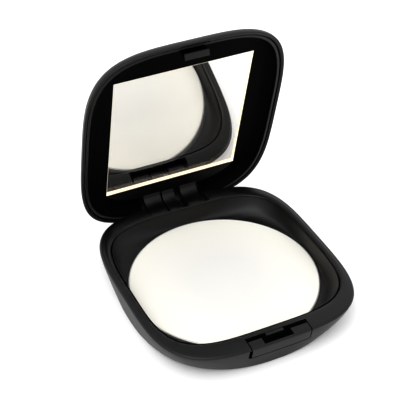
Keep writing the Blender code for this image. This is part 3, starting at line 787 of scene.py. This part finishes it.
def hook():
    """A tongue that hangs from the front of the panel, with a nose that points forward."""
    nose_y, nose_z = HOOK_NOSE
    nose_edge = 0.4 * MM
    profile = [(HOOK_BACK_Y, HOOK_TIP[1]), (HOOK_BACK_Y, PANEL_Z + 0.25 * MM),
               (HOOK_NECK_Y, PANEL_Z - 0.5 * MM), (HOOK_NECK_Y, nose_z + 2 * nose_edge),
               (nose_y, nose_z + nose_edge), HOOK_NOSE, HOOK_TIP]
    return soften(slab("hook", profile, HOOK_LEFT_X, HOOK_RIGHT_X), 0.1 * MM)


def make_mirror(glass, silver, edge):
    """A block of glass with a silvered back and ground edges."""
    mirror = box("silvered_mirror", MIRROR_LOW, MIRROR_HIGH)
    open_out(mirror, glass, "mirror", "mirror_glass")
    mirror.data.shade_flat()
    mirror.data.materials.append(silver)
    mirror.data.materials.append(edge)
    for face in mirror.data.polygons:
        if face.normal.z > 0.9:
            face.material_index = 1
        elif face.normal.z > -0.9:
            face.material_index = 2
    return mirror


# Studio ----------------------------------------------------------------------------------------

CAMERA_AZIMUTH = radians(-25.25)
CAMERA_ELEVATION = radians(37.2)
CAMERA_ROLL = radians(-0.26)
CAMERA_DISTANCE = 357.7 * MM
CAMERA_TARGET = Vector((0.6, 18.5, 22.3)) * MM
CAMERA_LENS = 103.04         # millimetres, on a sensor 36 mm wide


def make_camera():
    camera = bpy.data.objects.new("camera", bpy.data.cameras.new("camera"))
    bpy.context.scene.collection.objects.link(camera)
    camera.data.sensor_width = 36
    camera.data.lens = CAMERA_LENS
    camera.data.clip_start = 0.01
    camera.data.clip_end = 100
    back = Vector((sin(CAMERA_AZIMUTH) * cos(CAMERA_ELEVATION),
                   -cos(CAMERA_AZIMUTH) * cos(CAMERA_ELEVATION), sin(CAMERA_ELEVATION)))
    turn = (-back).to_track_quat("-Z", "Y").to_matrix().to_4x4() @ Matrix.Rotation(CAMERA_ROLL, 4, "Z")
    camera.matrix_world = Matrix.Translation(CAMERA_TARGET + back * CAMERA_DISTANCE) @ turn
    bpy.context.scene.camera = camera


def white_table():
    """A white laminate table top."""
    made, tree, shader = new_material("white_laminate", IOR=1.5, Roughness=0.6)
    cloud = add_node(tree, "TexNoise", {"Vector": place_on(tree, 60 * MM), "Scale": 1.0, "Detail": 2.0})
    colour = ramp(tree, cloud.outputs["Fac"], (0.3, srgb("#F5F5F5")), (0.7, srgb("#F8F8F8")))
    tree.links.new(colour, shader.inputs["Base Color"])
    return made


def make_floor():
    shape = bmesh.new()
    bmesh.ops.create_grid(shape, x_segments=1, y_segments=1, size=3.0)
    floor = add_piece("table_top", shape)
    floor.data.materials.append(white_table())


def area_light(name, place, aim, size, power, colour):
    data = bpy.data.lights.new(name, "AREA")
    data.shape = "DISK"
    data.size = size
    data.energy = power
    data.color = srgb(colour)[:3]
    light = bpy.data.objects.new(name, data)
    bpy.context.scene.collection.objects.link(light)
    light.matrix_world = (Matrix.Translation(place)
                          @ (Vector(aim) - Vector(place)).to_track_quat("-Z", "Y").to_matrix().to_4x4())


SOFTBOX_PLACE = (-0.35, -0.25, 0.7)
SOFTBOX_SIZE = 0.6
SOFTBOX_POWER = 2.2          # watts
ROOM_STRENGTH = 0.95         # of the white room's light from all round


def make_lights():
    world = bpy.data.worlds.new("white_room")
    world.use_nodes = True
    background = world.node_tree.nodes["Background"]
    background.inputs["Color"].default_value = srgb("#FFFFFF")
    background.inputs["Strength"].default_value = ROOM_STRENGTH
    bpy.context.scene.world = world
    area_light("softbox", SOFTBOX_PLACE, (0, 0, 0), SOFTBOX_SIZE, SOFTBOX_POWER, "#FFFFFF")


def main():
    outer_plastic = moulded_abs("moulded_abs_outer", 0.42, 0.4, "#0A0A0B", "#0F0F10", 0.35 * MM, 0.02 * MM)
    inner_plastic = moulded_abs("moulded_abs_inner", 0.42, 0.4, "#070707", "#0A0A0A", 0.35 * MM, 0.02 * MM)
    # A darker, less glossy copy of the same plastic for the lid's inside wall and panel: painted shade.
    shaded_panel_plastic = moulded_abs("abs_panel_painted_shade", 0.6, 0.06, "#020202", "#040404",
                               0.35 * MM, 0.03 * MM)
    steel = drawn_steel()
    make_base_shell(outer_plastic)
    make_well_liner(inner_plastic)
    make_pan(tinplate())
    make_powder(pressed_powder())
    make_button(outer_plastic)
    make_springs(steel)
    make_hinge_pin(steel)
    make_lid_shell(outer_plastic)
    make_lid_liner(inner_plastic, shaded_panel_plastic)
    make_mirror(float_glass(), silvering(), ground_glass_edge())
    for node, finish in (("pan_glue_dot", hot_glue()), ("mirror_tape", foam_tape())):
        kept = frame["nodes"][node]
        kept.data.materials.clear()
        kept.data.materials.append(finish)

    make_floor()
    make_camera()
    make_lights()
    view = bpy.context.scene.view_settings
    view.view_transform = "Standard"
    view.look = "High Contrast"


main()
